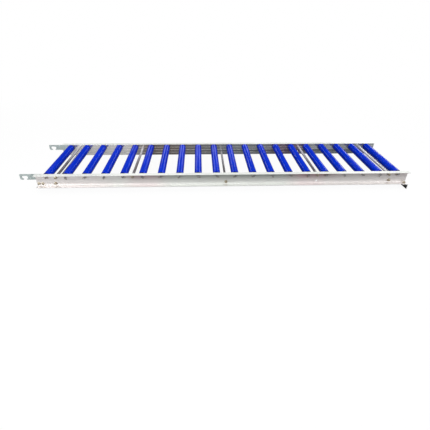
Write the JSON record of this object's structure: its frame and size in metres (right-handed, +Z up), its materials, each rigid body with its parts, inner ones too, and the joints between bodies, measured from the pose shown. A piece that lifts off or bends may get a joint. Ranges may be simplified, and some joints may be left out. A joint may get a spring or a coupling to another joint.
{
  "type": "gravity roller conveyor section",
  "caption": "Straight gravity roller conveyor section: free-turning plastic rollers on pinned axles between aluminium channel rails, with joining hooks at one end and an angle bar at the other.",
  "frame": {"origin": "middle of the section's length and width, level with the lower edge of the end angle", "axes": "+X along the rails from the hooks to the end angle, +Y across from the near rail to the far rail, +Z up"},
  "size_m": [2.1, 0.462, 0.102],
  "materials": {
    "rail_aluminium": "mill-finish extrusion with fine lengthwise lines",
    "hook_galvanised": "galvanised sheet with faint spangle",
    "angle_steel": "galvanised rolled angle",
    "roller_blue": "glossy royal blue tube",
    "cap_blue": "satin dark blue moulding",
    "bush_plastic": "natural bearing plastic",
    "axle_steel": "bright drawn steel, zinc plated",
    "tie_steel": "bright steel tube",
    "pin_steel": "dulled yellow zinc wire",
    "yellow_zinc": "yellow passivated zinc"
  },
  "bodies": {
    "frame": {"near_rail": "rail_aluminium", "far_rail": "rail_aluminium", "near_hook_plate": "hook_galvanised", "far_hook_plate": "hook_galvanised", "end_angle": "angle_steel", "upper_tie_01": "tie_steel", "upper_tie_02": "tie_steel", "upper_tie_03": "tie_steel", "upper_tie_04": "tie_steel", "lower_tie_01": "tie_steel", "lower_tie_02": "tie_steel", "lower_tie_03": "tie_steel", "roller_axles": "axle_steel", "bearing_bushes": "bush_plastic", "split_pins": "pin_steel", "tie_bolts": "yellow_zinc", "tie_washers": "yellow_zinc", "hook_bolts": "yellow_zinc", "angle_bolts": "yellow_zinc", "hex_nuts": "yellow_zinc"},
    "roller_01": {"roller_tube_01": "roller_blue", "roller_caps_01": "cap_blue"},
    "roller_02": {"roller_tube_02": "roller_blue", "roller_caps_02": "cap_blue"},
    "roller_03": {"roller_tube_03": "roller_blue", "roller_caps_03": "cap_blue"},
    "roller_04": {"roller_tube_04": "roller_blue", "roller_caps_04": "cap_blue"},
    "roller_05": {"roller_tube_05": "roller_blue", "roller_caps_05": "cap_blue"},
    "roller_06": {"roller_tube_06": "roller_blue", "roller_caps_06": "cap_blue"},
    "roller_07": {"roller_tube_07": "roller_blue", "roller_caps_07": "cap_blue"},
    "roller_08": {"roller_tube_08": "roller_blue", "roller_caps_08": "cap_blue"},
    "roller_09": {"roller_tube_09": "roller_blue", "roller_caps_09": "cap_blue"},
    "roller_10": {"roller_tube_10": "roller_blue", "roller_caps_10": "cap_blue"},
    "roller_11": {"roller_tube_11": "roller_blue", "roller_caps_11": "cap_blue"},
    "roller_12": {"roller_tube_12": "roller_blue", "roller_caps_12": "cap_blue"},
    "roller_13": {"roller_tube_13": "roller_blue", "roller_caps_13": "cap_blue"},
    "roller_14": {"roller_tube_14": "roller_blue", "roller_caps_14": "cap_blue"},
    "roller_15": {"roller_tube_15": "roller_blue", "roller_caps_15": "cap_blue"},
    "roller_16": {"roller_tube_16": "roller_blue", "roller_caps_16": "cap_blue"},
    "roller_17": {"roller_tube_17": "roller_blue", "roller_caps_17": "cap_blue"},
    "roller_18": {"roller_tube_18": "roller_blue", "roller_caps_18": "cap_blue"},
    "roller_19": {"roller_tube_19": "roller_blue", "roller_caps_19": "cap_blue"},
    "roller_20": {"roller_tube_20": "roller_blue", "roller_caps_20": "cap_blue"}
  },
  "joints": [
    {"name": "roller_01_spin", "type": "hinge", "parent": "frame", "child": "roller_01", "pos_m": [-0.915, 0, 0.082], "axis": [0, 1, 0], "continuous": true},
    {"name": "roller_02_spin", "type": "hinge", "parent": "frame", "child": "roller_02", "pos_m": [-0.815, 0, 0.082], "axis": [0, 1, 0], "continuous": true},
    {"name": "roller_03_spin", "type": "hinge", "parent": "frame", "child": "roller_03", "pos_m": [-0.715, 0, 0.082], "axis": [0, 1, 0], "continuous": true},
    {"name": "roller_04_spin", "type": "hinge", "parent": "frame", "child": "roller_04", "pos_m": [-0.615, 0, 0.082], "axis": [0, 1, 0], "continuous": true},
    {"name": "roller_05_spin", "type": "hinge", "parent": "frame", "child": "roller_05", "pos_m": [-0.515, 0, 0.082], "axis": [0, 1, 0], "continuous": true},
    {"name": "roller_06_spin", "type": "hinge", "parent": "frame", "child": "roller_06", "pos_m": [-0.415, 0, 0.082], "axis": [0, 1, 0], "continuous": true},
    {"name": "roller_07_spin", "type": "hinge", "parent": "frame", "child": "roller_07", "pos_m": [-0.315, 0, 0.082], "axis": [0, 1, 0], "continuous": true},
    {"name": "roller_08_spin", "type": "hinge", "parent": "frame", "child": "roller_08", "pos_m": [-0.215, 0, 0.082], "axis": [0, 1, 0], "continuous": true},
    {"name": "roller_09_spin", "type": "hinge", "parent": "frame", "child": "roller_09", "pos_m": [-0.115, 0, 0.082], "axis": [0, 1, 0], "continuous": true},
    {"name": "roller_10_spin", "type": "hinge", "parent": "frame", "child": "roller_10", "pos_m": [-0.015, 0, 0.082], "axis": [0, 1, 0], "continuous": true},
    {"name": "roller_11_spin", "type": "hinge", "parent": "frame", "child": "roller_11", "pos_m": [0.085, 0, 0.082], "axis": [0, 1, 0], "continuous": true},
    {"name": "roller_12_spin", "type": "hinge", "parent": "frame", "child": "roller_12", "pos_m": [0.185, 0, 0.082], "axis": [0, 1, 0], "continuous": true},
    {"name": "roller_13_spin", "type": "hinge", "parent": "frame", "child": "roller_13", "pos_m": [0.285, 0, 0.082], "axis": [0, 1, 0], "continuous": true},
    {"name": "roller_14_spin", "type": "hinge", "parent": "frame", "child": "roller_14", "pos_m": [0.385, 0, 0.082], "axis": [0, 1, 0], "continuous": true},
    {"name": "roller_15_spin", "type": "hinge", "parent": "frame", "child": "roller_15", "pos_m": [0.485, 0, 0.082], "axis": [0, 1, 0], "continuous": true},
    {"name": "roller_16_spin", "type": "hinge", "parent": "frame", "child": "roller_16", "pos_m": [0.585, 0, 0.082], "axis": [0, 1, 0], "continuous": true},
    {"name": "roller_17_spin", "type": "hinge", "parent": "frame", "child": "roller_17", "pos_m": [0.685, 0, 0.082], "axis": [0, 1, 0], "continuous": true},
    {"name": "roller_18_spin", "type": "hinge", "parent": "frame", "child": "roller_18", "pos_m": [0.785, 0, 0.082], "axis": [0, 1, 0], "continuous": true},
    {"name": "roller_19_spin", "type": "hinge", "parent": "frame", "child": "roller_19", "pos_m": [0.885, 0, 0.082], "axis": [0, 1, 0], "continuous": true},
    {"name": "roller_20_spin", "type": "hinge", "parent": "frame", "child": "roller_20", "pos_m": [0.985, 0, 0.082], "axis": [0, 1, 0], "continuous": true}
  ]
}
